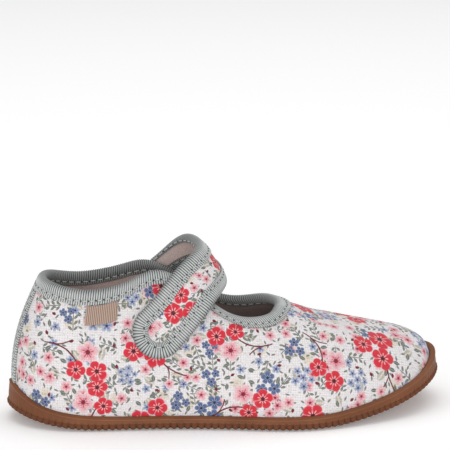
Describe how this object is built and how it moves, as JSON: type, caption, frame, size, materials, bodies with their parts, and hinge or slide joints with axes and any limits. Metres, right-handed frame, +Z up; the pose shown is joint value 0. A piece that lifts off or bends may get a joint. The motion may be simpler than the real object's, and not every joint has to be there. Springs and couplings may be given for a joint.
{
  "type": "slipper",
  "caption": "Child's barefoot slipper for the right foot: rounded canvas upper with ribbed binding, an instep strap and a thin gum rubber cup sole with a ribbed side.",
  "frame": {"origin": "on the floor under the middle of the slipper's length and width", "axes": "+X from the heel towards the toe, +Z up, +Y towards the inner (medial) side of the right foot"},
  "size_m": [0.175, 0.0702, 0.0706],
  "materials": {
    "gum_rubber": "semi-gloss gum rubber",
    "footbed": "soft brushed cotton",
    "printed_canvas": "plain-weave cotton canvas with a small floral print",
    "ribbed_tape": "grosgrain tape",
    "woven_tab": "ribbed woven tab, bare"
  },
  "bodies": {
    "root": {"outsole": "gum_rubber", "insole": "footbed", "upper": "printed_canvas", "collar_binding": "ribbed_tape", "heel_tape": "ribbed_tape", "side_tab": "woven_tab", "strap": "printed_canvas", "strap_binding": "ribbed_tape"}
  },
  "joints": []
}
